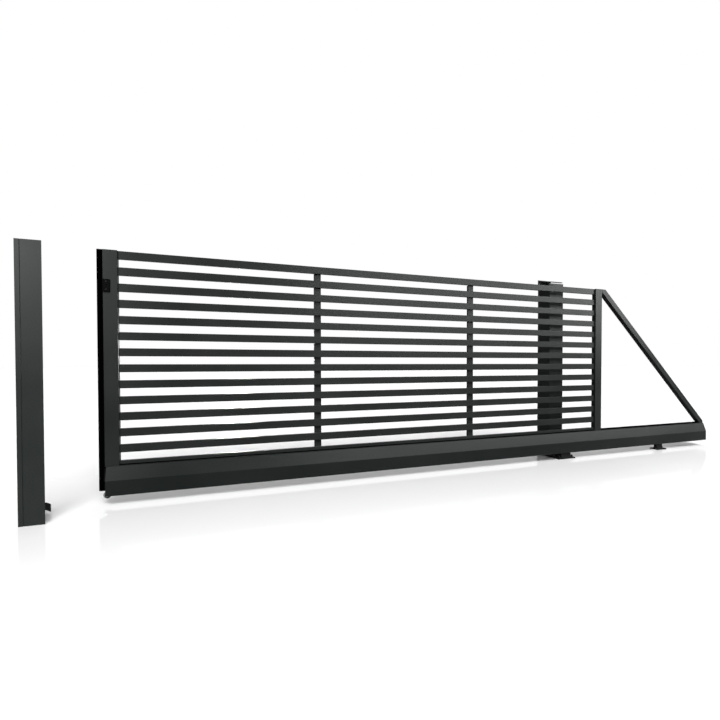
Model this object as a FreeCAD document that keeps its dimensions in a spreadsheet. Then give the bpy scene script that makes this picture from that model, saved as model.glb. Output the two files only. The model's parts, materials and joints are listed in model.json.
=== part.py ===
import FreeCAD, Part
import os
import Sketcher

# Sliding driveway gate. X runs along the gate, -Y faces the street side that is seen, Z is up.
# The origin is on the underside of the front base plate, below the first carriage.

slatCount = 14

doc = FreeCAD.newDocument("SlidingGate")
sheet = doc.addObject("Spreadsheet::Sheet", "dim")

sizes = {
    # overall layout along X
    "frontReach": 3675,
    "panelLength": 3900,
    "tailLength": 1439,
    "carriageInset": 639,
    "leafTop": 1563,
    # leaf frame
    "stripWidth": 34,
    "stripBottom": 89,
    "uprightWidth": 78,
    "profileRadius": 2.5,
    "frameDepth": 40,
    "slatHeight": 50,
    "lowSlatRise": 25.5,
    "slatThick": 20,
    "slatRadius": 1.5,
    "slatSetback": 12,
    "mullionWidth": 50,
    "mullionDepth": 20,
    "mullionFirst": 1260,
    "mullionSecond": 2558,
    "mullionLap": 1,
    "strutWidth": 50,
    "strutFlat": 44,
    "strutToe": 44,
    "strutInset": 1,
    # beam section
    "beamClearance": 59,
    "beamWidth": 100,
    "beamSide": 95,
    "beamHeight": 177,
    "beamWall": 6,
    "beamFloor": 8,
    "beamWeb": 5,
    "beamChamfer": 7,
    "slotWidth": 44,
    "seatLip": 4,
    "seatLipHeight": 4,
    "seatGap": 0.3,
    "beamRadius": 3,
    "beamSetback": 9,
    "plugThick": 5,
    "capThick": 5,
    # run-in roller and its fork
    "runRollerDiameter": 44,
    "runRollerWidth": 20,
    "runRollerSet": 9,
    "runRollerDrop": 22,
    "runPinDiameter": 12,
    "runForkLength": 60,
    "runForkCheek": 6,
    "runForkGap": 2,
    "runLugWidth": 34,
    "runLugSet": 15,
    "runLugLift": 5.5,
    # keeper plate on the front upright
    "keeperWidth": 38,
    "keeperHeight": 77,
    "keeperThick": 8,
    "keeperRadius": 3,
    "keeperDrop": 257,
    "keeperInset": 1,
    # carriages
    "baseThick": 10,
    "frontBaseWidth": 188,
    "frontBaseFront": 25,
    "frontBaseBack": 215,
    "rearBaseWidth": 124,
    "rearBaseDepth": 75,
    "boltSpanX": 150,
    "boltSpanY": 50,
    "boltRow": 20,
    "rearBoltSpan": 102,
    "boltHole": 13,
    "stemWidth": 118,
    "rearStemWidth": 80,
    "stemTop": 90,
    "stemThick": 24,
    "chassisLength": 230,
    "chassisHeight": 40,
    "axleSpan": 150,
    "axleDiameter": 18,
    "axleTail": 1,
    "rollerWidth": 16,
    "rollerGap": 0.3,
    "rollerChamfer": 2,
    "rollerSide": 10,
    "pinFit": 0.05,
    # guide post and guide arm
    "postWidth": 160,
    "postDepth": 140,
    "postRadius": 4,
    "postLeft": 122,
    "postFront": 65,
    "postRise": 35,
    "armThick": 6,
    "armLeft": 315,
    "armLength": 280,
    "armFront": 6,
    "armBar": 14,
    "armRoot": 165,
    "guideDiameter": 36,
    "guideHeight": 30,
    "guideRise": 10,
    "guideFirst": 40,
    "guideSpan": 110,
    "guideGap": 0.3,
    "guidePinDiameter": 10,
    "guidePinHead": 16,
    "guidePinHeadThick": 3,
    # catch post
    "catchWidth": 121,
    "catchDepth": 30,
    "catchGap": 185,
    "catchFront": 234,
    "catchDrop": 37,
    "catchGrooveSet": 22,
    "catchGrooveWidth": 7,
    "catchGrooveDepth": 3,
    "catchLean": 13,
    # run-in catch
    "mouthReach": 227,
    "mouthFlare": 36,
    "cheekLength": 74,
    "catchLead": 34,
    "cheekThick": 6,
    "cheekGap": 6,
    "cheekDrop": 5.5,
    "catchPlate": 10,
    "catchPlateDepth": 72,
    "catchRamp": 10,
    "catchRampFall": 6,
}

for row, (alias, value) in enumerate(sizes.items(), start=1):
    sheet.set(f"A{row}", alias)
    sheet.set(f"B{row}", str(value))
    sheet.setAlias(f"B{row}", alias)
doc.recompute()

# Places that several pieces share, as expressions on the sheet.
leafLeft = "-dim.frontReach"
uprightLeft = f"({leafLeft} + dim.stripWidth)"
panelLeft = f"({uprightLeft} + dim.uprightWidth)"
panelRight = f"({panelLeft} + dim.panelLength)"
uprightRight = f"({panelRight} + dim.uprightWidth)"
beamLeft = f"({uprightLeft} + dim.beamSetback)"
beamRight = f"({uprightRight} + dim.tailLength)"
beamTop = "(dim.beamClearance + dim.beamHeight)"
beamBreak = "(dim.beamClearance + dim.beamSide)"
seatHalf = "(dim.frameDepth / 2 + dim.seatGap)"
lipHalf = f"({seatHalf} + dim.seatLip)"
lipTop = f"({beamTop} + dim.seatLipHeight)"
channelFloor = "(dim.beamClearance + dim.beamFloor)"
channelTop = f"({beamBreak} - dim.beamWeb)"
channelHalf = "(dim.beamWidth / 2 - dim.beamWall)"
axleHeight = f"(({channelFloor} + {channelTop}) / 2)"
rollerDiameter = f"({channelTop} - {channelFloor} - 2 * dim.rollerGap)"
rollerInner = "(dim.rollerSide + dim.stemThick / 2)"
frameFront = "(-dim.frameDepth / 2)"
slatFront = f"({frameFront} + dim.slatSetback)"
slatBack = f"({slatFront} + dim.slatThick)"
runRollerX = f"({uprightLeft} + dim.runRollerSet)"
runRollerBottom = "(dim.beamClearance - dim.runRollerDrop)"
runRollerZ = f"({runRollerBottom} + dim.runRollerDiameter / 2)"
rearCentre = f"({beamRight} - dim.carriageInset)"
slatPitch = f"((dim.leafTop - {lipTop} - dim.lowSlatRise) / {slatCount - 1})"
postTop = "(dim.leafTop + dim.postRise)"
catchTop = "(dim.leafTop - dim.catchDrop)"
guideBottom = "(dim.leafTop - dim.slatHeight + dim.guideRise)"
guideY = f"({slatBack} + dim.guideGap + dim.guideDiameter / 2)"
catchRight = f"({leafLeft} - dim.catchGap)"
catchLeft = f"({catchRight} - dim.catchWidth)"

parts = []


def keep(item, label):
    item.Label = label
    parts.append(item)
    return item


def place(item, x, y, z):
    item.setExpression("Placement.Base.x", x)
    item.setExpression("Placement.Base.y", y)
    item.setExpression("Placement.Base.z", z)
    return item


def box(name, length, width, height, x, y, z):
    item = doc.addObject("Part::Box", name)
    item.setExpression("Length", length)
    item.setExpression("Width", width)
    item.setExpression("Height", height)
    return place(item, x, y, z)


def cylinder(name, diameter, height, x, y, z, axis=None):
    item = doc.addObject("Part::Cylinder", name)
    item.setExpression("Radius", f"{diameter} / 2")
    item.setExpression("Height", height)
    if axis:
        item.Placement.Rotation = FreeCAD.Rotation(FreeCAD.Vector(0, 0, 1), axis)
    return place(item, x, y, z)


def cut(name, base, tools):
    joined = tools[0]
    if len(tools) > 1:
        joined = doc.addObject("Part::MultiFuse", name + "Tools")
        joined.Shapes = tools
    item = doc.addObject("Part::Cut", name)
    item.Base = base
    item.Tool = joined
    return item


def fuse(name, pieces):
    item = doc.addObject("Part::MultiFuse", name)
    item.Shapes = pieces
    return item


def sketchOn(body, role, name):
    plane = [f for f in body.Origin.OriginFeatures if f.Role == role][0]
    sketch = body.newObject("Sketcher::SketchObject", name)
    sketch.AttachmentSupport = [(plane, "")]
    sketch.MapMode = "FlatFace"
    return sketch


def outline(sketch, corners):
    # A closed outline of straight edges, with both coordinates of every corner tied to the sheet.
    first = sketch.GeometryCount
    count = len(corners)
    spots = [FreeCAD.Vector(sketch.evalExpression(u), sketch.evalExpression(v), 0) for u, v in corners]
    for i in range(count):
        sketch.addGeometry(Part.LineSegment(spots[i], spots[(i + 1) % count]))
    for i in range(count):
        sketch.addConstraint(Sketcher.Constraint("Coincident", first + i, 2, first + (i + 1) % count, 1))
    for i, (u, v) in enumerate(corners):
        for kind, text, value in (("DistanceX", u, spots[i].x), ("DistanceY", v, spots[i].y)):
            number = sketch.addConstraint(Sketcher.Constraint(kind, -1, 1, first + i, 1, value))
            label = f"{kind}{first + i}"
            sketch.renameConstraint(number, label)
            sketch.setExpression(f"Constraints.{label}", text)


def profile(name, role, loops, length, both=False):
    # A section drawn on one of the body's own planes and padded along that plane's normal.
    body = doc.addObject("PartDesign::Body", name)
    sketch = sketchOn(body, role, name + "Section")
    for corners in loops:
        outline(sketch, corners)
    pad = body.newObject("PartDesign::Pad", name + "Pad")
    pad.Profile = sketch
    pad.setExpression("Length", length)
    if both:
        pad.Midplane = True
    return body


def roundEdges(body, chosen, radius):
    # Rounds the edges of the body's last feature that the test picks out.
    doc.recompute()
    last = body.Tip
    names = [f"Edge{i + 1}" for i, edge in enumerate(last.Shape.Edges) if chosen(edge)]
    fillet = body.newObject("PartDesign::Fillet", body.Name + "Fillet")
    fillet.Base = (last, names)
    fillet.setExpression("Radius", radius)
    return body


def runsAlong(axis):
    return lambda edge: edge.tangentAt(edge.FirstParameter).cross(axis).Length < 1e-6


def sides(width, height):
    # A rectangle from the sketch's origin.
    return [("0", "0"), (width, "0"), (width, height), ("0", height)]


def plank(name, width, height, length, radius, x, y, z):
    # A profile that lies along X, with its four long edges rounded.
    body = profile(name, "YZ_Plane", [sides(width, height)], length)
    roundEdges(body, runsAlong(FreeCAD.Vector(1, 0, 0)), radius)
    return place(body, x, y, z)


def upright(name, width, depth, height, radius, x, y, z):
    # A profile that stands along Z, with its four long edges rounded.
    body = profile(name, "XY_Plane", [sides(width, depth)], height)
    roundEdges(body, runsAlong(FreeCAD.Vector(0, 0, 1)), radius)
    return place(body, x, y, z)


def turned(name, role, corners):
    # A turned piece: half its section, spun about the sketch's vertical axis.
    body = doc.addObject("PartDesign::Body", name)
    sketch = sketchOn(body, role, name + "Section")
    outline(sketch, corners)
    spin = body.newObject("PartDesign::Revolution", name + "Spin")
    spin.Profile = sketch
    spin.ReferenceAxis = (sketch, ["V_Axis"])
    spin.Angle = 360
    return body


def mirrored(corners):
    return corners + [(f"-{u}", v) for u, v in reversed(corners)]


# Leaf: closing strip and the two uprights, which stand in the beam's seat
keep(upright("closing_strip", "dim.stripWidth", "dim.frameDepth", "dim.leafTop - dim.stripBottom",
             "dim.profileRadius", leafLeft, frameFront, "dim.stripBottom"), "closing_strip")
for label, left in (("front_upright", uprightLeft), ("rear_upright", panelRight)):
    keep(upright(label, "dim.uprightWidth", "dim.frameDepth", f"dim.leafTop - {beamTop}",
                 "dim.profileRadius", left, frameFront, beamTop), label)

# Slats between the uprights: the lowest one is trimmed to stand on the beam
for i in range(slatCount):
    top = f"(dim.leafTop - {i} * {slatPitch})"
    bottom = f"({top} - dim.slatHeight)"
    if i == slatCount - 1:
        bottom = beamTop
    label = f"slat_{i + 1:02d}"
    keep(plank(label, "dim.slatThick", f"{top} - {bottom}", "dim.panelLength", "dim.slatRadius",
               panelLeft, slatFront, bottom), label)

# Mullions behind the slats, from the beam's seat to just above the top slat's lower edge
for label, offset in (("front_mullion", "dim.mullionFirst"), ("rear_mullion", "dim.mullionSecond")):
    keep(upright(label, "dim.mullionWidth", "dim.mullionDepth",
                 f"dim.leafTop - dim.slatHeight + dim.mullionLap - {lipTop}", "dim.slatRadius",
                 f"{panelLeft} + {offset} - dim.mullionWidth / 2", slatBack, lipTop), label)

# Beam: one extrusion with a slotted roller channel below, a closed chamber above and a seat on top
half = [
    ("dim.slotWidth / 2", channelFloor),
    ("dim.slotWidth / 2", "dim.beamClearance"),
    ("(dim.beamWidth / 2 - dim.beamChamfer)", "dim.beamClearance"),
    ("dim.beamWidth / 2", "dim.beamClearance + dim.beamChamfer"),
    ("dim.beamWidth / 2", beamBreak),
    (lipHalf, beamTop),
    (lipHalf, lipTop),
    (seatHalf, lipTop),
    (seatHalf, beamTop),
]
section = mirrored(half) + [
    (f"-{channelHalf}", channelFloor),
    (f"-{channelHalf}", channelTop),
    (channelHalf, channelTop),
    (channelHalf, channelFloor),
]
chamber = mirrored([
    ("(dim.beamWidth / 2 - dim.beamWall - 1)", beamBreak),
    (f"({lipHalf} - dim.beamWall + 1)", f"{beamTop} - dim.beamWeb"),
])
beam = profile("beam", "YZ_Plane", [section, chamber], f"{beamRight} - {beamLeft}")
beamHalf = sheet.beamWidth / 2


def onBeamSide(edge):
    bounds = edge.BoundBox
    return abs(abs(bounds.YMin) - beamHalf) < 0.01 and bounds.YLength < 0.01 and bounds.ZLength < 0.01


roundEdges(beam, onBeamSide, "dim.beamRadius")
keep(place(beam, beamLeft, "0", "0"), "beam")

# End cap over the beam's rear end, with the beam's outer outline
cap = profile("beam_end_cap", "YZ_Plane", [mirrored(half[2:6])], "dim.capThick")
roundEdges(cap, onBeamSide, "dim.beamRadius")
keep(place(cap, beamRight, "0", "0"), "beam_end_cap")

# Plug that closes the beam's chamber at the front end and fills out to the closing strip
plug = profile("beam_front_plug", "YZ_Plane", [chamber], "dim.beamSetback + dim.plugThick")
keep(place(plug, uprightLeft, "0", "0"), "beam_front_plug")

# Strut from the rear upright's head to the beam's tail, cut plumb at both ends
strutTopX = f"({uprightRight} + dim.strutFlat)"
strutFootX = f"({beamRight} - dim.strutInset)"
strutReach = f"({strutFootX} - dim.strutToe - {strutTopX})"
strutDrop = f"(dim.leafTop - {beamTop})"
strutSpan = f"sqrt({strutReach} * {strutReach} + {strutDrop} * {strutDrop})"
strutSlope = f"tan(atan({strutDrop} / {strutReach}) - asin(dim.strutWidth / {strutSpan}))"
strutRise = f"(dim.strutWidth * sqrt(1 + {strutSlope} * {strutSlope}))"
strut = profile("strut", "XZ_Plane", [[
    (uprightRight, "dim.leafTop"),
    (strutTopX, "dim.leafTop"),
    (strutFootX, f"dim.leafTop - ({strutFootX} - {strutTopX}) * {strutSlope}"),
    (strutFootX, beamTop),
    (f"{strutFootX} - dim.strutToe", beamTop),
    (uprightRight, f"dim.leafTop - {strutRise} + dim.strutFlat * {strutSlope}"),
]], "dim.frameDepth", both=True)
roundEdges(strut, lambda edge: edge.BoundBox.XLength > 1 and edge.BoundBox.ZLength > 1, "dim.profileRadius")
keep(strut, "strut")

# Keeper plate on the front upright's face
keeperSides = sides("dim.keeperWidth", "dim.keeperHeight")
keeper = profile("keeper_plate", "XZ_Plane", [keeperSides], "dim.keeperThick")
roundEdges(keeper, runsAlong(FreeCAD.Vector(0, 1, 0)), "dim.keeperRadius")
place(keeper, f"{uprightLeft} + dim.keeperInset", frameFront, "dim.leafTop - dim.keeperDrop")
keep(keeper, "keeper_plate")

# Run-in fork in the beam's front end, with the pin that carries the run-in roller
forkInner = "(dim.runRollerWidth / 2 + dim.runForkGap)"
forkOuter = f"({forkInner} + dim.runForkCheek)"
forkPieces = []
lugX = f"({uprightLeft} + dim.runLugSet)"
lugZ = f"({runRollerBottom} + dim.runLugLift + dim.runLugWidth / 2)"
for side, y in (("Near", f"-{forkOuter}"), ("Far", forkInner)):
    forkPieces.append(box("runCheek" + side, "dim.runForkLength", "dim.runForkCheek",
                          f"{channelTop} - {channelFloor}", beamLeft, y, channelFloor))
    forkPieces.append(box("runLug" + side, "dim.runLugWidth", "dim.runForkCheek", f"{channelFloor} - {lugZ}",
                          f"{lugX} - dim.runLugWidth / 2", y, lugZ))
    forkPieces.append(cylinder("runLugEnd" + side, "dim.runLugWidth", "dim.runForkCheek",
                               lugX, y, lugZ, FreeCAD.Vector(0, 1, 0)))
forkPieces.append(box("runForkBack", "dim.runForkCheek", f"2 * {channelHalf}",
                      f"{channelTop} - {channelFloor}",
                      f"{beamLeft} + dim.runForkLength", f"-{channelHalf}", channelFloor))
forkPieces.append(cylinder("runPin", "dim.runPinDiameter", f"2 * {forkOuter}",
                           runRollerX, f"-{forkOuter}", runRollerZ, FreeCAD.Vector(0, 1, 0)))
keep(fuse("run_in_fork", forkPieces), "run_in_fork")

runBore = "(dim.runPinDiameter / 2 + dim.pinFit)"
runRoller = turned("run_in_roller", "XY_Plane", [
    (runBore, "-dim.runRollerWidth / 2"),
    ("dim.runRollerDiameter / 2 - dim.rollerChamfer", "-dim.runRollerWidth / 2"),
    ("dim.runRollerDiameter / 2", "-dim.runRollerWidth / 2 + dim.rollerChamfer"),
    ("dim.runRollerDiameter / 2", "dim.runRollerWidth / 2 - dim.rollerChamfer"),
    ("dim.runRollerDiameter / 2 - dim.rollerChamfer", "dim.runRollerWidth / 2"),
    (runBore, "dim.runRollerWidth / 2"),
])
keep(place(runRoller, runRollerX, "0", runRollerZ), "run_in_roller")

# Base plates with their bolt holes
frontPlate = box("frontPlate", "dim.frontBaseWidth", "dim.frontBaseFront + dim.frontBaseBack",
                 "dim.baseThick", "-dim.frontBaseWidth / 2", "-dim.frontBaseFront", "0")
frontHoles = []
for column in (-1, 1):
    for line in (-1, 1):
        frontHoles.append(cylinder("frontHole", "dim.boltHole", "dim.baseThick",
                                   f"{column} * dim.boltSpanX / 2",
                                   f"dim.boltRow + {line} * dim.boltSpanY / 2", "0"))
keep(cut("front_base_plate", frontPlate, frontHoles), "front_base_plate")

rearPlate = box("rearPlate", "dim.rearBaseWidth", "dim.rearBaseDepth", "dim.baseThick",
                f"{rearCentre} - dim.rearBaseWidth / 2", "-dim.rearBaseDepth / 2", "0")
rearHoles = []
for column in (-1, 1):
    rearHoles.append(cylinder("rearHole", "dim.boltHole", "dim.baseThick",
                              f"{rearCentre} + {column} * dim.rearBoltSpan / 2", "0", "0"))
keep(cut("rear_base_plate", rearPlate, rearHoles), "rear_base_plate")


# Carriage: a stem up through the beam's slot, a chassis bar with two axles, and four rollers
def carriage(end, centre, stemWidth):
    chassisBottom = f"({axleHeight} - dim.chassisHeight / 2)"
    stem = profile(end + "_carriage_stem", "XZ_Plane", [[
        (f"-{stemWidth} / 2", "dim.baseThick"),
        (f"{stemWidth} / 2", "dim.baseThick"),
        ("dim.stemTop / 2", chassisBottom),
        ("-dim.stemTop / 2", chassisBottom),
    ]], "dim.stemThick", both=True)
    keep(place(stem, centre, "0", "0"), end + "_carriage_stem")
    pieces = [box(end + "Bar", "dim.chassisLength", "dim.stemThick", "dim.chassisHeight",
                  f"{centre} - dim.chassisLength / 2", "-dim.stemThick / 2", chassisBottom)]
    axleHalf = f"({rollerInner} + dim.rollerWidth + dim.axleTail)"
    rollers = []
    for column in (-1, 1):
        axleX = f"({centre} + {column} * dim.axleSpan / 2)"
        pieces.append(cylinder(end + "Axle", "dim.axleDiameter", f"2 * {axleHalf}",
                               axleX, f"-{axleHalf}", axleHeight, FreeCAD.Vector(0, 1, 0)))
        for side in (-1, 1):
            bore = "(dim.axleDiameter / 2 + dim.pinFit)"
            rim = f"({rollerDiameter} / 2)"
            roller = turned(end + "Roller", "XY_Plane", [
                (bore, "-dim.rollerWidth / 2"),
                (f"{rim} - dim.rollerChamfer", "-dim.rollerWidth / 2"),
                (rim, "-dim.rollerWidth / 2 + dim.rollerChamfer"),
                (rim, "dim.rollerWidth / 2 - dim.rollerChamfer"),
                (f"{rim} - dim.rollerChamfer", "dim.rollerWidth / 2"),
                (bore, "dim.rollerWidth / 2"),
            ])
            place(roller, axleX, f"{side} * ({rollerInner} + dim.rollerWidth / 2)", axleHeight)
            rollers.append(roller)
    keep(fuse(end + "_carriage_chassis", pieces), end + "_carriage_chassis")
    group = doc.addObject("Part::Compound", end + "_carriage_rollers")
    group.Links = rollers
    keep(group, end + "_carriage_rollers")


carriage("front", "0", "dim.stemWidth")
carriage("rear", rearCentre, "dim.rearStemWidth")

# Guide post on the front base plate, and the guide arm over the leaf with two guide rollers
keep(upright("guide_post", "dim.postWidth", "dim.postDepth", f"{postTop} - dim.baseThick", "dim.postRadius",
             "-dim.postLeft", "dim.postFront", "dim.baseThick"), "guide_post")
armPins = []
guideRollers = []
for i in range(2):
    guideX = f"(dim.guideFirst + {i} * dim.guideSpan - dim.armLeft)"
    pinBottom = f"({guideBottom} - dim.guidePinHeadThick - dim.guideGap)"
    armPins.append(cylinder("guidePin", "dim.guidePinDiameter", f"{postTop} - {pinBottom}",
                            guideX, guideY, pinBottom))
    armPins.append(cylinder("guidePinHeadDisc", "dim.guidePinHead", "dim.guidePinHeadThick",
                            guideX, guideY, pinBottom))
    bore = "(dim.guidePinDiameter / 2 + dim.pinFit)"
    rim = "dim.guideDiameter / 2"
    roller = turned("guideRoller", "XZ_Plane", [
        (bore, guideBottom),
        (f"{rim} - dim.rollerChamfer", guideBottom),
        (rim, f"{guideBottom} + dim.rollerChamfer"),
        (rim, f"{guideBottom} + dim.guideHeight - dim.rollerChamfer"),
        (f"{rim} - dim.rollerChamfer", f"{guideBottom} + dim.guideHeight"),
        (bore, f"{guideBottom} + dim.guideHeight"),
    ])
    guideRollers.append(place(roller, guideX, guideY, "0"))
armRight = "(dim.armLength - dim.armLeft)"
armBack = "(dim.armFront + dim.armBar)"
armPlate = profile("armPlate", "XY_Plane", [[
    ("-dim.armLeft", "dim.armFront"),
    (armRight, "dim.armFront"),
    (armRight, armBack),
    ("dim.armRoot - dim.armLeft", armBack),
    ("-dim.postLeft", "dim.postFront"),
    ("dim.postWidth - dim.postLeft", "dim.postFront"),
    ("dim.postWidth - dim.postLeft", "dim.postFront + dim.postDepth"),
    ("-dim.postLeft", "dim.postFront + dim.postDepth"),
]], "dim.armThick")
place(armPlate, "0", "0", postTop)
keep(fuse("guide_arm", [armPlate] + armPins), "guide_arm")
guidePair = doc.addObject("Part::Compound", "guide_rollers")
guidePair.Links = guideRollers
keep(guidePair, "guide_rollers")

# Catch post with a groove down its face; its sides lean in towards the back
catchRight = f"({catchLeft} + dim.catchWidth)"
catchBack = "(dim.catchDepth - dim.catchFront)"
postBlock = profile("catchBlock", "XY_Plane", [[
    (catchLeft, "-dim.catchFront"),
    (catchRight, "-dim.catchFront"),
    (f"{catchRight} - dim.catchLean", catchBack),
    (f"{catchLeft} + dim.catchLean", catchBack),
]], catchTop)
groove = box("catchGroove", "dim.catchGrooveWidth", "dim.catchGrooveDepth", catchTop,
             f"{catchLeft} + dim.catchGrooveSet", "-dim.catchFront", "0")
keep(cut("catch_post", postBlock, [groove]), "catch_post")

# Run-in catch on its own plate: the near cheek flares to lead the run-in roller up a ramp to its seat
mouth = f"({leafLeft} - dim.mouthReach)"
throat = f"({mouth} - dim.mouthFlare)"
catchEdge = f"({throat} - dim.catchLead)"
catchEnd = f"({throat} - dim.cheekLength)"
catchLength = f"({catchEdge} - {catchEnd})"
cheekInner = f"({forkOuter} + dim.cheekGap)"
cheekOuter = f"({cheekInner} + dim.cheekThick)"
cheekHeight = "(dim.beamClearance - dim.cheekDrop - dim.catchPlate)"
seatTop = f"({runRollerBottom} - dim.rollerGap)"
catchPlate = box("catchPlate", catchLength, "dim.catchPlateDepth", "dim.catchPlate",
                 catchEnd, "-dim.catchPlateDepth / 2", "0")
rollerSeat = profile("rollerSeat", "XZ_Plane", [[
    (catchEnd, "dim.catchPlate"),
    (catchEdge, "dim.catchPlate"),
    (catchEdge, f"{seatTop} - dim.catchRampFall"),
    (f"{catchEdge} - dim.catchRamp", seatTop),
    (catchEnd, seatTop),
]], f"2 * {cheekInner}", both=True)
nearCheek = profile("nearCheek", "XY_Plane", [[
    (catchEnd, f"-{cheekInner}"),
    (throat, f"-{cheekInner}"),
    (mouth, f"-({cheekInner} + dim.mouthFlare)"),
    (mouth, f"-({cheekOuter} + dim.mouthFlare)"),
    (throat, f"-{cheekOuter}"),
    (catchEnd, f"-{cheekOuter}"),
]], cheekHeight)
place(nearCheek, "0", "0", "dim.catchPlate")
farCheek = box("farCheek", catchLength, "dim.cheekThick", cheekHeight, catchEnd, cheekInner, "dim.catchPlate")
catchPieces = [catchPlate, rollerSeat, nearCheek, farCheek]
keep(fuse("run_in_catch", catchPieces), "run_in_catch")

doc.recompute()

for item in doc.Objects:
    if "Invalid" in item.State or "Error" in item.State:
        raise RuntimeError(f"{item.Name} failed: {item.State}")
os.makedirs("parts", exist_ok=True)
for item in parts:
    if item.Shape.isNull() or not item.Shape.isValid():
        raise RuntimeError(f"{item.Label} has no valid shape")
for item in parts:
    item.Shape.exportStep(f"parts/{item.Label}.step")
    bounds = item.Shape.BoundBox
    print(f"{item.Label}: {len(item.Shape.Solids)} solids, volume {item.Shape.Volume:.0f} mm3, "
          f"x {bounds.XMin:.1f} to {bounds.XMax:.1f}, y {bounds.YMin:.1f} to {bounds.YMax:.1f}, "
          f"z {bounds.ZMin:.1f} to {bounds.ZMax:.1f}")
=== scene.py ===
import json
import math
import bpy
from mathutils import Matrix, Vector


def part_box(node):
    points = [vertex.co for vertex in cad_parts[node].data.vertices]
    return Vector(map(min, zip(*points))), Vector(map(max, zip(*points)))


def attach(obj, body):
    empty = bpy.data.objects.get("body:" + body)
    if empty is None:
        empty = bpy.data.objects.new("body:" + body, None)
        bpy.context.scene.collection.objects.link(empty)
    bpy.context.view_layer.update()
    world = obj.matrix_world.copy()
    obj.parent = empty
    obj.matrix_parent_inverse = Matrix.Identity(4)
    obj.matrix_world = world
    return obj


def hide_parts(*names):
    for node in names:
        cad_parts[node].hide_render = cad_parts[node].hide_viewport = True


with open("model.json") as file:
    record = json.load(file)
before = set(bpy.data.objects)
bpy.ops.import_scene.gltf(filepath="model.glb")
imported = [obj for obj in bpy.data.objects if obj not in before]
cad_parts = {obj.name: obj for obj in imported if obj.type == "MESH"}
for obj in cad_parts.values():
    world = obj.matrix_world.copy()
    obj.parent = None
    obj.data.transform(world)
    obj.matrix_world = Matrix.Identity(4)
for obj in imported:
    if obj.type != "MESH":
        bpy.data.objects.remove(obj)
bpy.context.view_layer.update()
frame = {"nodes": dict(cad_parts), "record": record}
nodes = frame["nodes"]
print("frame loaded:", len(nodes), "nodes")


def toLinear(code):  # sRGB hex to the linear colour that shaders take
    values = [int(code[i:i + 2], 16) / 255 for i in (1, 3, 5)]
    return tuple(v / 12.92 if v <= 0.04045 else ((v + 0.055) / 1.055) ** 2.4 for v in values) + (1.0,)


def perMetre(sizeMm):  # noise scale for a feature of this size
    return 1000 / sizeMm


def addNode(tree, kind, inputs=None, **settings):
    node = tree.nodes.new(kind)
    for name, value in settings.items():
        setattr(node, name, value)
    for socket, value in (inputs or {}).items():
        if isinstance(value, bpy.types.NodeSocket):
            tree.links.new(value, node.inputs[socket])
        else:
            node.inputs[socket].default_value = value
    return node


def startMaterial(name):
    material = bpy.data.materials.new(name)
    material.use_nodes = True
    tree = material.node_tree
    shader = tree.nodes["Principled BSDF"]
    place = tree.nodes.new("ShaderNodeTexCoord").outputs["Object"]
    return material, tree, shader, place


def dress(obj, material):
    obj.data.materials.clear()
    obj.data.materials.append(material)


# powder coat: sprayed and baked, so it is satin with a faint orange peel and a slow drift in shade
coatLook = {"driftDetail": 2.0, "grainDetail": 3.0, "darkAt": 0.12, "lightAt": 0.42,
            "driftLow": 0.3, "driftHigh": 0.7, "smoother": 0.04, "rougher": 0.05,
            "peelDepth": 0.0004, "ior": 1.5}


def powderCoat(name, look):
    material, tree, shader, place = startMaterial(name)
    drift = addNode(tree, "ShaderNodeTexNoise", {
        "Vector": place, "Scale": perMetre(look["driftMm"]), "Detail": coatLook["driftDetail"]})
    grain = addNode(tree, "ShaderNodeTexNoise", {
        "Vector": place, "Scale": perMetre(look["grainMm"]), "Detail": coatLook["grainDetail"]})
    mixed = addNode(tree, "ShaderNodeMath", {0: drift.outputs["Fac"], 1: grain.outputs["Fac"]},
                    operation="MULTIPLY")
    colours = addNode(tree, "ShaderNodeValToRGB", {"Fac": mixed.outputs[0]})
    colours.color_ramp.elements[0].position = coatLook["darkAt"]
    colours.color_ramp.elements[0].color = toLinear(look["dark"])
    colours.color_ramp.elements[1].position = coatLook["lightAt"]
    colours.color_ramp.elements[1].color = toLinear(look["light"])
    rough = addNode(tree, "ShaderNodeMapRange", {
        "Value": drift.outputs["Fac"], "From Min": coatLook["driftLow"], "From Max": coatLook["driftHigh"],
        "To Min": look["roughness"] - coatLook["smoother"],
        "To Max": look["roughness"] + coatLook["rougher"]})
    peel = addNode(tree, "ShaderNodeBump", {
        "Height": grain.outputs["Fac"], "Strength": look["peel"], "Distance": coatLook["peelDepth"]})
    tree.links.new(colours.outputs["Color"], shader.inputs["Base Color"])
    tree.links.new(rough.outputs["Result"], shader.inputs["Roughness"])
    tree.links.new(peel.outputs["Normal"], shader.inputs["Normal"])
    shader.inputs["IOR"].default_value = coatLook["ior"]
    shader.inputs["Specular IOR Level"].default_value = look["gloss"]
    return material


# the orange peel is really about 1.5 mm across; it is drawn at 5 or 6 mm so that it shows
anthraciteCoat = powderCoat("anthracite powder coat on aluminium", {
    "dark": "#282b2a", "light": "#323534", "driftMm": 420, "grainMm": 5,
    "roughness": 0.36, "peel": 0.06, "gloss": 0.03})
# the posts' coat is lightened by about a tenth: painted light that offsets the shade falling on them
anthraciteSteelPaintedLight = powderCoat("anthracite powder coat on steel, lightened as painted light", {
    "dark": "#303433", "light": "#3b3e3d", "driftMm": 300, "grainMm": 6,
    "roughness": 0.4, "peel": 0.16, "gloss": 0.03})
# the beam's coat is the slats' coat made darker: painted shade for its less lit side
beamCoatPaintedShade = powderCoat("anthracite powder coat on the beam", {
    "dark": "#1f2322", "light": "#292c2b", "driftMm": 600, "grainMm": 5,
    "roughness": 0.36, "peel": 0.06, "gloss": 0.03})
blackSteel = powderCoat("black coated steel plate", {
    "dark": "#0d0e0e", "light": "#161817", "driftMm": 90, "grainMm": 5,
    "roughness": 0.55, "peel": 0.2, "gloss": 0.05})


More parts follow.
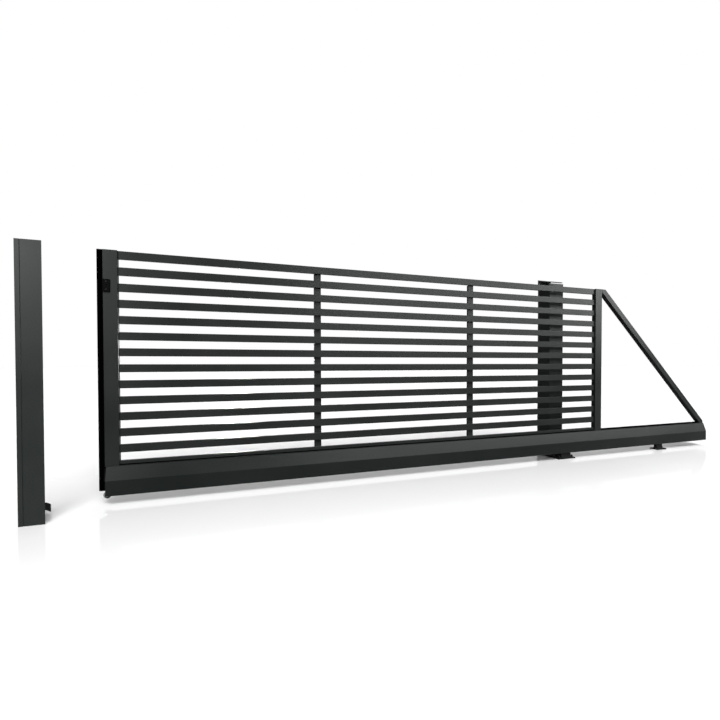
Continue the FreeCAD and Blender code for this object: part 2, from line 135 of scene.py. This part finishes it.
# EPDM rubber: extruded, so dull black with faint upright draw lines, drawn wide enough to show
def rubberStrip(name, look):
    material, tree, shader, place = startMaterial(name)
    stretch = addNode(tree, "ShaderNodeMapping", {"Vector": place, "Scale": look["stretch"]})
    lines = addNode(tree, "ShaderNodeTexNoise", {
        "Vector": stretch.outputs["Vector"], "Scale": perMetre(look["lineMm"]), "Detail": look["detail"]})
    colours = addNode(tree, "ShaderNodeValToRGB", {"Fac": lines.outputs["Fac"]})
    colours.color_ramp.elements[0].color = toLinear(look["dark"])
    colours.color_ramp.elements[1].color = toLinear(look["light"])
    bump = addNode(tree, "ShaderNodeBump", {
        "Height": lines.outputs["Fac"], "Strength": look["bump"], "Distance": look["bumpDepth"]})
    tree.links.new(colours.outputs["Color"], shader.inputs["Base Color"])
    tree.links.new(bump.outputs["Normal"], shader.inputs["Normal"])
    shader.inputs["Roughness"].default_value = look["roughness"]
    shader.inputs["Specular IOR Level"].default_value = look["gloss"]
    return material


blackRubber = rubberStrip("black EPDM rubber", {
    "dark": "#020202", "light": "#060606", "lineMm": 3, "stretch": (1.0, 1.0, 0.02), "detail": 2.0,
    "bump": 0.15, "bumpDepth": 0.0005, "roughness": 0.75, "gloss": 0.0})


# moulded plastic: spark-eroded mould texture with a soft sheen, drawn coarse enough to show
mouldLook = {"detail": 4.0, "darkAt": 0.3, "lightAt": 0.7, "bump": 0.2, "bumpDepth": 0.0003}


def mouldedPlastic(name, look):
    material, tree, shader, place = startMaterial(name)
    grain = addNode(tree, "ShaderNodeTexNoise", {
        "Vector": place, "Scale": perMetre(look["grainMm"]), "Detail": mouldLook["detail"]})
    colours = addNode(tree, "ShaderNodeValToRGB", {"Fac": grain.outputs["Fac"]})
    colours.color_ramp.elements[0].position = mouldLook["darkAt"]
    colours.color_ramp.elements[0].color = toLinear(look["dark"])
    colours.color_ramp.elements[1].position = mouldLook["lightAt"]
    colours.color_ramp.elements[1].color = toLinear(look["light"])
    bump = addNode(tree, "ShaderNodeBump", {
        "Height": grain.outputs["Fac"], "Strength": mouldLook["bump"], "Distance": mouldLook["bumpDepth"]})
    tree.links.new(colours.outputs["Color"], shader.inputs["Base Color"])
    tree.links.new(bump.outputs["Normal"], shader.inputs["Normal"])
    shader.inputs["Roughness"].default_value = look["roughness"]
    shader.inputs["Specular IOR Level"].default_value = look["gloss"]
    return material


blackPlastic = mouldedPlastic("black moulded ABS", {
    "dark": "#050505", "light": "#0a0a0a", "grainMm": 2.5, "roughness": 0.55, "gloss": 0.008})
greyNylon = mouldedPlastic("turned grey nylon", {
    "dark": "#7b7d7c", "light": "#8e908e", "grainMm": 3, "roughness": 0.45, "gloss": 0.4})


# zinc plating: patchy spangle from the bath, dull between the crystals
def zincPlate(name, look):
    material, tree, shader, place = startMaterial(name)
    spangle = addNode(tree, "ShaderNodeTexVoronoi", {"Vector": place, "Scale": perMetre(look["spangleMm"])})
    cloud = addNode(tree, "ShaderNodeTexNoise", {
        "Vector": place, "Scale": perMetre(look["cloudMm"]), "Detail": look["detail"]})
    mixed = addNode(tree, "ShaderNodeMath", {0: spangle.outputs["Distance"], 1: cloud.outputs["Fac"]},
                    operation="MULTIPLY")
    colours = addNode(tree, "ShaderNodeValToRGB", {"Fac": mixed.outputs[0]})
    colours.color_ramp.elements[0].color = toLinear(look["dark"])
    colours.color_ramp.elements[1].position = look["lightAt"]
    colours.color_ramp.elements[1].color = toLinear(look["light"])
    rough = addNode(tree, "ShaderNodeMapRange", {
        "Value": cloud.outputs["Fac"], "To Min": look["smooth"], "To Max": look["dull"]})
    tree.links.new(colours.outputs["Color"], shader.inputs["Base Color"])
    tree.links.new(rough.outputs["Result"], shader.inputs["Roughness"])
    shader.inputs["Metallic"].default_value = 1.0
    return material


zincSteel = zincPlate("zinc plated steel", {
    "dark": "#8d9092", "light": "#b5b8ba", "spangleMm": 8, "cloudMm": 25, "detail": 3.0, "lightAt": 0.5,
    "smooth": 0.35, "dull": 0.6})

slotMaterials = {
    "anthracite_aluminium": anthraciteCoat,
    "anthracite_steel": anthraciteSteelPaintedLight,
    "black_steel": blackSteel,
    "black_rubber": blackRubber,
    "black_plastic": blackPlastic,
    "galvanised_steel": zincSteel,
    "grey_nylon": greyNylon,
}
for entry in frame["record"]["subparts"]:
    dress(nodes[entry["node"]], slotMaterials[entry["material_slot"]])
dress(nodes["beam"], beamCoatPaintedShade)  # the slats' coat, darkened as painted shade on the beam

# how close counts when parts of a mesh are picked
touch = 0.0001  # lies on a plane, in metres
facing = 0.99  # a normal points along an axis
running = 0.9  # an edge runs along an axis
smoothAngle = math.radians(35)

# turns that point a part modelled along +Z at the front, the back or the tail
quarter = math.radians(90)
towardFront, towardBack, towardTail = (quarter, 0, 0), (-quarter, 0, 0), (0, quarter, 0)


# shaping helpers: start a block, pick parts of it by place, copy it, finish it
def deselect():
    bpy.ops.object.select_all(action="DESELECT")


def only(obj):
    deselect()
    obj.select_set(True)
    bpy.context.view_layer.objects.active = obj


def settle(obj):  # its place goes into the mesh
    only(obj)
    bpy.ops.object.transform_apply(location=True, rotation=True, scale=True)


def startBlock(name, low, high):
    deselect()
    centre = [(a + b) / 2 for a, b in zip(low, high)]
    bpy.ops.mesh.primitive_cube_add(size=1, location=centre, scale=[b - a for a, b in zip(low, high)])
    block = bpy.context.object
    block.name = name
    settle(block)
    return block


def startRound(name, sides, radius, bottom, top):
    deselect()
    bpy.ops.mesh.primitive_cylinder_add(vertices=sides, radius=radius, depth=top - bottom,
                                        location=(0, 0, (bottom + top) / 2))
    disc = bpy.context.object
    disc.name = name
    settle(disc)
    return disc


def pick(obj, kind, test):
    bpy.ops.object.mode_set(mode="EDIT")
    bpy.ops.mesh.select_mode(type=kind)
    bpy.ops.mesh.select_all(action="DESELECT")
    bpy.ops.object.mode_set(mode="OBJECT")
    corners = [vertex.co for vertex in obj.data.vertices]
    if kind == "VERT":
        for vertex in obj.data.vertices:
            vertex.select = test(vertex.co)
    elif kind == "EDGE":
        for edge in obj.data.edges:
            a, b = (corners[i] for i in edge.vertices)
            edge.select = test((a + b) / 2, (b - a).normalized())
    else:
        for face in obj.data.polygons:
            face.select = test(face.center, face.normal)
    bpy.ops.object.mode_set(mode="EDIT")


def copyTo(source, name, place, turn=(0, 0, 0)):
    twin = source.copy()
    twin.data = source.data.copy()
    twin.name = name
    twin.location = place
    twin.rotation_euler = turn
    bpy.context.collection.objects.link(twin)
    settle(twin)
    return twin


def finishPiece(obj, body, material):
    bpy.ops.object.mode_set(mode="OBJECT")
    only(obj)
    bpy.ops.object.shade_smooth_by_angle(angle=smoothAngle)
    dress(obj, material)
    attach(obj, body)


# rubber buffer down the leaf's front edge: rounded nose, and a groove down each flank where it squeezes
bufferLook = {"nose": 0.012, "grooveSet": 0.022, "grooveHalf": 0.004, "grooveNarrow": 0.8}
low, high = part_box("closing_strip")
buffer = startBlock("closingBuffer", low, high)
pick(buffer, "EDGE", lambda middle, way: abs(way.z) > running and middle.x < low[0] + touch)
bpy.ops.mesh.bevel(offset=bufferLook["nose"], segments=5, affect="EDGES")
grooveX = low[0] + bufferLook["grooveSet"]
for shift in (-bufferLook["grooveHalf"], 0, bufferLook["grooveHalf"]):
    bpy.ops.mesh.select_all(action="SELECT")
    bpy.ops.mesh.bisect(plane_co=(grooveX + shift, 0, 0), plane_no=(1, 0, 0))
pick(buffer, "VERT", lambda spot: abs(spot.x - grooveX) < touch)
bpy.ops.transform.resize(value=(1, bufferLook["grooveNarrow"], 1))
finishPiece(buffer, "leaf", blackRubber)
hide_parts("closing_strip")
print("closing buffer done")

# pan head with a socket, modelled once on the origin with its head along +Z
screwLook = {"radius": 0.0045, "rise": 0.0026, "dome": 0.0012, "socketWall": 0.0024, "socketDepth": 0.0014}
screw = startRound("panHead", 20, screwLook["radius"], 0, screwLook["rise"])
pick(screw, "EDGE", lambda middle, way: middle.z > screwLook["rise"] - touch)
bpy.ops.mesh.bevel(offset=screwLook["dome"], segments=3, affect="EDGES")
pick(screw, "FACE", lambda middle, normal: normal.z > facing)
bpy.ops.mesh.inset(thickness=screwLook["socketWall"] - screwLook["dome"])
bpy.ops.mesh.extrude_region_move(TRANSFORM_OT_translate={"value": (0, 0, -screwLook["socketDepth"])})
bpy.ops.object.mode_set(mode="OBJECT")

# keeper plate on the front upright: rounded moulding with a sunk field, a strike pocket and two screws
keeperLook = {"corner": 0.003, "edge": 0.0012, "rim": 0.003, "fieldDepth": 0.0015, "pocketHigh": 0.026,
              "pocketRim": 0.009, "pocketDepth": 0.003, "screwInset": 0.014}
low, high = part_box("keeper_plate")
keeper = startBlock("keeperMoulding", low, high)
pick(keeper, "EDGE", lambda middle, way: abs(way.y) > running)
bpy.ops.mesh.bevel(offset=keeperLook["corner"], segments=3, affect="EDGES")
pick(keeper, "EDGE", lambda middle, way: middle.y < low[1] + touch)
bpy.ops.mesh.bevel(offset=keeperLook["edge"], segments=2, affect="EDGES")
pick(keeper, "FACE", lambda middle, normal: normal.y < -facing)
bpy.ops.mesh.inset(thickness=keeperLook["rim"])
bpy.ops.mesh.extrude_region_move(TRANSFORM_OT_translate={"value": (0, keeperLook["fieldDepth"], 0)})
midX, midZ = (low[0] + high[0]) / 2, (low[2] + high[2]) / 2
pocketHalf = keeperLook["pocketHigh"] / 2
for edgeZ in (midZ - pocketHalf, midZ + pocketHalf):
    bpy.ops.mesh.select_all(action="SELECT")
    bpy.ops.mesh.bisect(plane_co=(0, 0, edgeZ), plane_no=(0, 0, 1))
fieldY = low[1] + keeperLook["fieldDepth"]
pick(keeper, "FACE", lambda middle, normal: (normal.y < -facing and abs(middle.y - fieldY) < touch
                                             and abs(middle.z - midZ) < pocketHalf))
bpy.ops.mesh.inset(thickness=keeperLook["pocketRim"])
bpy.ops.mesh.extrude_region_move(TRANSFORM_OT_translate={"value": (0, keeperLook["pocketDepth"], 0)})
finishPiece(keeper, "leaf", blackPlastic)
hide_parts("keeper_plate")
for name, height in (("keeperScrewTop", high[2] - keeperLook["screwInset"]),
                     ("keeperScrewLow", low[2] + keeperLook["screwInset"])):
    keeperScrew = copyTo(screw, name, (midX, fieldY, height), towardFront)
    finishPiece(keeperScrew, "leaf", blackSteel)
print("keeper done")

# pressed-in caps on the tops of the uprights
capLook = {"rise": 0.001, "margin": 0.0004, "edge": 0.0005, "panel": 0.006, "dish": 0.0006}
for node, name in (("front_upright", "frontUprightCap"), ("rear_upright", "rearUprightCap")):
    low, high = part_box(node)
    top = high[2] + capLook["rise"]
    cap = startBlock(name, (low[0] + capLook["margin"], low[1] + capLook["margin"], high[2]),
                     (high[0] - capLook["margin"], high[1] - capLook["margin"], top))
    pick(cap, "EDGE", lambda middle, way: abs(way.z) > running)
    bpy.ops.mesh.bevel(offset=capLook["edge"], segments=2, affect="EDGES")
    pick(cap, "EDGE", lambda middle, way: middle.z > top - touch)
    bpy.ops.mesh.bevel(offset=capLook["edge"], segments=2, affect="EDGES")
    pick(cap, "FACE", lambda middle, normal: normal.z > facing)
    bpy.ops.mesh.inset(thickness=capLook["panel"], depth=-capLook["dish"])
    finishPiece(cap, "leaf", blackPlastic)
print("caps done")

# black rubber strips in the beam's seat, one each side of the lowest slat and one along the bare tail, which
# darken the line along the seat
seatLook = {"nearRise": 0.0085, "farRise": 0.0034, "tailStripRise": 0.011, "lift": 0.0005, "gap": 0.0004,
            "lipInside": 0.0205, "edge": 0.0015, "tailStop": 0.06, "dip": 0.0006}
slatLow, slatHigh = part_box("slat_14")
seatZ = slatLow[2] + seatLook["lift"]
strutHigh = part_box("strut")[1]
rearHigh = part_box("rear_upright")[1]
for name, low, high in (
        ("seatDarkStripNear", (slatLow[0], -seatLook["lipInside"], seatZ),
         (slatHigh[0], slatLow[1] - seatLook["gap"], seatZ + seatLook["nearRise"])),
        ("seatDarkStripFar", (slatLow[0], slatHigh[1] + seatLook["gap"], seatZ),
         (slatHigh[0], seatLook["lipInside"], seatZ + seatLook["farRise"])),
        ("seatDarkStripTail", (rearHigh[0] + seatLook["gap"], -seatLook["lipInside"], seatZ),
         (strutHigh[0] - seatLook["tailStop"], seatLook["lipInside"], seatZ + seatLook["tailStripRise"]))):
    rubber = startBlock(name, low, high)
    pick(rubber, "EDGE", lambda middle, way: abs(way.x) > running and middle.z > high[2] - touch)
    bpy.ops.mesh.bevel(offset=seatLook["edge"], segments=3, affect="EDGES")
    pick(rubber, "FACE", lambda middle, normal: normal.z > facing)
    bpy.ops.mesh.inset(thickness=seatLook["edge"] / 2)
    bpy.ops.mesh.extrude_region_move(TRANSFORM_OT_translate={"value": (0, 0, -seatLook["dip"])})
    finishPiece(rubber, "leaf", blackRubber)
print("seat rubbers done")

# end cap on the beam's tail: the node's outline, with a soft rim, a sunk panel and three screws
tailLook = {"merge": 0.00001, "flatAngle": 1, "edge": 0.0016, "panelWide": 0.82, "panelHigh": 0.9,
            "draft": 0.975, "sink": 0.0028, "screwInset": 0.026, "screwSpread": 0.032}
low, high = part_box("beam_end_cap")
tailCap = bpy.data.objects.new("beamTailCap", nodes["beam_end_cap"].data.copy())
bpy.context.collection.objects.link(tailCap)
only(tailCap)
bpy.ops.object.mode_set(mode="EDIT")
bpy.ops.mesh.select_all(action="SELECT")
bpy.ops.mesh.remove_doubles(threshold=tailLook["merge"])
bpy.ops.mesh.dissolve_limited(angle_limit=math.radians(tailLook["flatAngle"]))
pick(tailCap, "EDGE", lambda middle, way: middle.x > high[0] - touch)
bpy.ops.mesh.bevel(offset=tailLook["edge"], segments=2, affect="EDGES")
pick(tailCap, "FACE", lambda middle, normal: normal.x > facing)
panelMiddle = (high[0], 0, (low[2] + high[2]) / 2)
bpy.ops.mesh.extrude_region_move(TRANSFORM_OT_translate={"value": (0, 0, 0)})
bpy.ops.transform.resize(value=(1, tailLook["panelWide"], tailLook["panelHigh"]), center_override=panelMiddle)
bpy.ops.mesh.extrude_region_move(TRANSFORM_OT_translate={"value": (-tailLook["sink"], 0, 0)})
bpy.ops.transform.resize(value=(1, tailLook["draft"], tailLook["draft"]), center_override=panelMiddle)
finishPiece(tailCap, "leaf", blackPlastic)
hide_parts("beam_end_cap")
panelX = high[0] - tailLook["sink"]
for name, y, z in (("tailScrewTop", 0, high[2] - tailLook["screwInset"]),
                   ("tailScrewNear", -tailLook["screwSpread"], low[2] + tailLook["screwInset"]),
                   ("tailScrewFar", tailLook["screwSpread"], low[2] + tailLook["screwInset"])):
    finishPiece(copyTo(screw, name, (panelX, y, z), towardTail), "leaf", zincSteel)
print("tail cap done")

# screws through the mullions' backs into each whole slat below the top one
screwedSlats = range(2, 14)
for node, tag in (("front_mullion", "front"), ("rear_mullion", "rear")):
    low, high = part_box(node)
    for i in screwedSlats:
        slatLow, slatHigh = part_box(f"slat_{i:02d}")
        spot = ((low[0] + high[0]) / 2, high[1], (slatLow[2] + slatHigh[2]) / 2)
        mullionScrew = copyTo(screw, f"{tag}MullionScrew{i:02d}", spot, towardBack)
        finishPiece(mullionScrew, "leaf", zincSteel)
bpy.data.objects.remove(screw)
print("mullion screws done")

# anchor for the base plates: washer, nut and stud end, modelled once on the origin
anchorLook = {"washerRadius": 0.0105, "washerThick": 0.0025, "washerEdge": 0.0005,
              "nutRadius": 0.0098, "nutThick": 0.01, "nutCorner": 0.002, "nutRim": 0.0015,
              "studRadius": 0.006, "studRise": 0.007, "studEdge": 0.001,
              "threadStart": 0.001, "threadPitch": 0.0014, "threadRings": 4, "threadRoot": 0.86,
              "spots": ((-0.075, -0.005), (0.075, -0.005), (-0.075, 0.045), (0.075, 0.045),
                        (1.164, 0), (1.266, 0))}
washer = startRound("anchorWasher", 32, anchorLook["washerRadius"], 0, anchorLook["washerThick"])
pick(washer, "EDGE", lambda middle, way: middle.z > anchorLook["washerThick"] - touch)
bpy.ops.mesh.bevel(offset=anchorLook["washerEdge"], segments=2, affect="EDGES")
bpy.ops.object.mode_set(mode="OBJECT")
nutTop = anchorLook["washerThick"] + anchorLook["nutThick"]
nut = startRound("anchorNut", 6, anchorLook["nutRadius"], anchorLook["washerThick"], nutTop)
pick(nut, "VERT", lambda spot: spot.z > nutTop - touch)
bpy.ops.mesh.bevel(offset=anchorLook["nutCorner"], segments=2, affect="VERTICES")
pick(nut, "FACE", lambda middle, normal: normal.z > facing)
bpy.ops.mesh.inset(thickness=anchorLook["nutRim"])
bpy.ops.object.mode_set(mode="OBJECT")
studTop = nutTop + anchorLook["studRise"]
stud = startRound("anchorStud", 20, anchorLook["studRadius"], 0, studTop)
ringHeights = [nutTop + anchorLook["threadStart"] + turn * anchorLook["threadPitch"]
               for turn in range(anchorLook["threadRings"])]
for ringZ in ringHeights:  # thread that stands above the nut
    bpy.ops.object.mode_set(mode="EDIT")
    bpy.ops.mesh.select_all(action="SELECT")
    bpy.ops.mesh.bisect(plane_co=(0, 0, ringZ), plane_no=(0, 0, 1))
for ringZ in ringHeights[::2]:  # every other ring is a root
    pick(stud, "VERT", lambda spot: abs(spot.z - ringZ) < touch)
    bpy.ops.transform.resize(value=(anchorLook["threadRoot"], anchorLook["threadRoot"], 1))
pick(stud, "EDGE", lambda middle, way: middle.z > studTop - touch)
bpy.ops.mesh.bevel(offset=anchorLook["studEdge"], segments=2, affect="EDGES")
bpy.ops.object.mode_set(mode="OBJECT")
only(stud)
washer.select_set(True)
nut.select_set(True)
bpy.ops.object.join()
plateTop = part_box("front_base_plate")[1][2]
for i, (x, y) in enumerate(anchorLook["spots"]):
    finishPiece(copyTo(stud, f"baseAnchor{i + 1}", (x, y, plateTop)), "base", blackSteel)
bpy.data.objects.remove(stud)
print("anchors done")

# weld beads where stems and guide post meet their plates: a fillet with a rippled face
weldLook = {"leg": 0.005, "rounding": 0.45, "ripple": 0.0005, "cuts": 5, "rootHigh": 0.0005}
leg = weldLook["leg"]


def layBead(name, low, high, seed):
    bead = startBlock(name, low, high)
    pick(bead, "EDGE", lambda middle, way: middle.z > high[2] - touch)
    bpy.ops.mesh.bevel(offset=leg * weldLook["rounding"], segments=3, affect="EDGES")
    bpy.ops.mesh.select_all(action="SELECT")
    bpy.ops.mesh.subdivide(number_cuts=weldLook["cuts"])
    pick(bead, "VERT", lambda spot: spot.z > low[2] + weldLook["rootHigh"])
    bpy.ops.transform.vertex_random(offset=weldLook["ripple"], seed=seed)
    finishPiece(bead, "base", blackSteel)


for node, tag in (("front_carriage_stem", "frontStem"), ("rear_carriage_stem", "rearStem")):
    low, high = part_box(node)
    spots = [nodes[node].matrix_world @ vertex.co for vertex in nodes[node].data.vertices]
    foot = [spot.x for spot in spots if spot.z < low[2] + touch]  # the stem is narrower at its foot
    for side, y, seed in (("WeldNear", low[1], 3), ("WeldFar", high[1], 7)):
        layBead(tag + side, (min(foot), y - leg, low[2]), (max(foot), y + leg, low[2] + leg), seed)
low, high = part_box("guide_post")
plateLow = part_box("front_base_plate")[0]
layBead("guidePostWeldNear", (plateLow[0] + leg, low[1] - leg, low[2]),
        (high[0], low[1] + leg, low[2] + leg), seed=11)
layBead("guidePostWeldSide", (high[0] - leg, low[1], low[2]),
        (high[0] + leg, high[1], low[2] + leg), seed=13)
print("weld beads done")

# pin heads that hold the run-in roller between its lugs
pinLook = {"radius": 0.0085, "rise": 0.003, "edge": 0.001, "dishRim": 0.003, "dish": 0.0006, "reach": 0.018}
pinHead = startRound("pinHead", 24, pinLook["radius"], 0, pinLook["rise"])
pick(pinHead, "EDGE", lambda middle, way: middle.z > pinLook["rise"] - touch)
bpy.ops.mesh.bevel(offset=pinLook["edge"], segments=3, affect="EDGES")
pick(pinHead, "FACE", lambda middle, normal: normal.z > facing)
bpy.ops.mesh.inset(thickness=pinLook["dishRim"], depth=-pinLook["dish"])
bpy.ops.object.mode_set(mode="OBJECT")
low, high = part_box("run_in_roller")
axleX, axleZ = (low[0] + high[0]) / 2, (low[2] + high[2]) / 2
for name, y, turn in (("rollerPinHeadNear", -pinLook["reach"], towardFront),
                      ("rollerPinHeadFar", pinLook["reach"], towardBack)):
    finishPiece(copyTo(pinHead, name, (axleX, y, axleZ), turn), "leaf", zincSteel)
bpy.data.objects.remove(pinHead)
print("pin heads done")

# studio floor: white, polished most under the leaf's front end and less towards the tail
floorLook = {"sizeM": 240, "drop": 0.0005, "white": "#f9f9f9", "roughness": 0.06, "gloss": 0.25,
             "polishNear": 0.2, "polishFar": 0.75,
             "leftX": -4.0, "leftPolish": 1.5, "rightX": 1.6, "rightPolish": 0.02}
deselect()
bpy.ops.mesh.primitive_plane_add(size=floorLook["sizeM"], location=(0, 0, -floorLook["drop"]))
floor = bpy.context.object
floor.name = "studioFloor"
floorMaterial, floorTree, floorShader, floorPlace = startMaterial("smooth white studio floor")
across = addNode(floorTree, "ShaderNodeSeparateXYZ", {"Vector": floorPlace})
away = addNode(floorTree, "ShaderNodeMath", {0: across.outputs["Y"]}, operation="ABSOLUTE")
polish = addNode(floorTree, "ShaderNodeMapRange", {
    "Value": away.outputs[0], "From Min": floorLook["polishNear"], "From Max": floorLook["polishFar"],
    "To Min": floorLook["gloss"], "To Max": 0.0})
along = addNode(floorTree, "ShaderNodeMapRange", {
    "Value": across.outputs["X"], "From Min": floorLook["leftX"], "From Max": floorLook["rightX"],
    "To Min": floorLook["leftPolish"], "To Max": floorLook["rightPolish"]})
shine = addNode(floorTree, "ShaderNodeMath", {0: polish.outputs["Result"], 1: along.outputs["Result"]},
                operation="MULTIPLY")
floorTree.links.new(shine.outputs[0], floorShader.inputs["Specular IOR Level"])
floorShader.inputs["Base Color"].default_value = toLinear(floorLook["white"])
floorShader.inputs["Roughness"].default_value = floorLook["roughness"]
dress(floor, floorMaterial)
floor.visible_diffuse = False  # a dark object close to the floor stays dark underneath, as in the photograph

# surround: plain white to the eye and in reflections, soft light from above and from the right on the rest
skyLook = {"lowZ": -0.2, "highZ": 0.5, "lowLight": 0.05, "highLight": 0.5,
           "leftX": -0.8, "rightX": 0.2, "leftLight": 0.3, "rightLight": 1.0, "white": 1.0}
world = bpy.data.worlds.new("whiteStudio")
bpy.context.scene.world = world
world.use_nodes = True
tree = world.node_tree
rays = addNode(tree, "ShaderNodeLightPath")
seen = addNode(tree, "ShaderNodeMath", {0: rays.outputs["Is Camera Ray"], 1: rays.outputs["Is Glossy Ray"]},
               operation="MAXIMUM")
seen = addNode(tree, "ShaderNodeMath", {0: seen.outputs[0], 1: rays.outputs["Is Transmission Ray"]},
               operation="MAXIMUM")
toward = addNode(tree, "ShaderNodeSeparateXYZ", {
    "Vector": addNode(tree, "ShaderNodeTexCoord").outputs["Generated"]})
above = addNode(tree, "ShaderNodeMapRange", {
    "Value": toward.outputs["Z"], "From Min": skyLook["lowZ"], "From Max": skyLook["highZ"],
    "To Min": skyLook["lowLight"], "To Max": skyLook["highLight"]})
right = addNode(tree, "ShaderNodeMapRange", {
    "Value": toward.outputs["X"], "From Min": skyLook["leftX"], "From Max": skyLook["rightX"],
    "To Min": skyLook["leftLight"], "To Max": skyLook["rightLight"]})
soft = addNode(tree, "ShaderNodeMath", {0: above.outputs["Result"], 1: right.outputs["Result"]},
               operation="MULTIPLY")
level = addNode(tree, "ShaderNodeMapRange", {
    "Value": seen.outputs[0], "To Min": soft.outputs[0], "To Max": skyLook["white"]})
tree.links.new(level.outputs["Result"], tree.nodes["Background"].inputs["Strength"])
tree.nodes["Background"].inputs["Color"].default_value = (1, 1, 1, 1)


def aimAt(lamp, target):
    lamp.rotation_euler = (Vector(target) - lamp.location).to_track_quat("-Z", "Y").to_euler()


def addCard(name, look):  # bright card that only shows as sheen in the coat
    deselect()
    bpy.ops.object.light_add(type="AREA", location=look["place"])
    lamp = bpy.context.object
    lamp.name = name
    lamp.data.shape = "RECTANGLE"
    lamp.data.size, lamp.data.size_y = look["size"]
    lamp.data.energy = look["watts"]
    lamp.visible_diffuse = False
    lamp.visible_camera = False
    aimAt(lamp, look["target"])


def addSun(name, look):
    deselect()
    bpy.ops.object.light_add(type="SUN", location=look["place"])
    lamp = bpy.context.object
    lamp.name = name
    lamp.data.energy = look["strength"]
    lamp.data.angle = math.radians(look["angle"])
    aimAt(lamp, look["target"])
    return lamp


addSun("overheadSoft", {"place": (-1.0, -6.06, 7.75), "target": (-1, 0, 0), "strength": 2.98, "angle": 34})
backFill = addSun("backFill", {"place": (-1.0, 9, 0.3), "target": (-1, 0, 0), "strength": 2.6, "angle": 6})
backFill.data.use_shadow = False  # it only lifts the leaf's back

addCard("rightCard", {"place": (2.9, -4.4, 3.0), "target": (0.6, 0, 1.0), "size": (9.6, 2.6), "watts": 2080})
addCard("leftCard", {"place": (-6.8, -4.2, 3.0), "target": (-3.9, 0, 1.2), "size": (2.6, 2.4), "watts": 1300})
print("studio lit")

# camera, fitted to the photograph's lines
cameraLook = {"place": (-2.8865, -2.6426, 0.8564), "turn": (89.1329, 0.1105, -17.7632), "sensor": 36,
              "lens": 18.602, "shift": (0.01008, 0.01488), "reach": 200}
bpy.ops.object.camera_add(location=cameraLook["place"],
                          rotation=[math.radians(angle) for angle in cameraLook["turn"]])
camera = bpy.context.object
camera.data.sensor_width = cameraLook["sensor"]
camera.data.lens = cameraLook["lens"]
camera.data.shift_x, camera.data.shift_y = cameraLook["shift"]
camera.data.clip_end = cameraLook["reach"]
bpy.context.scene.camera = camera
bpy.context.scene.view_settings.view_transform = "Standard"
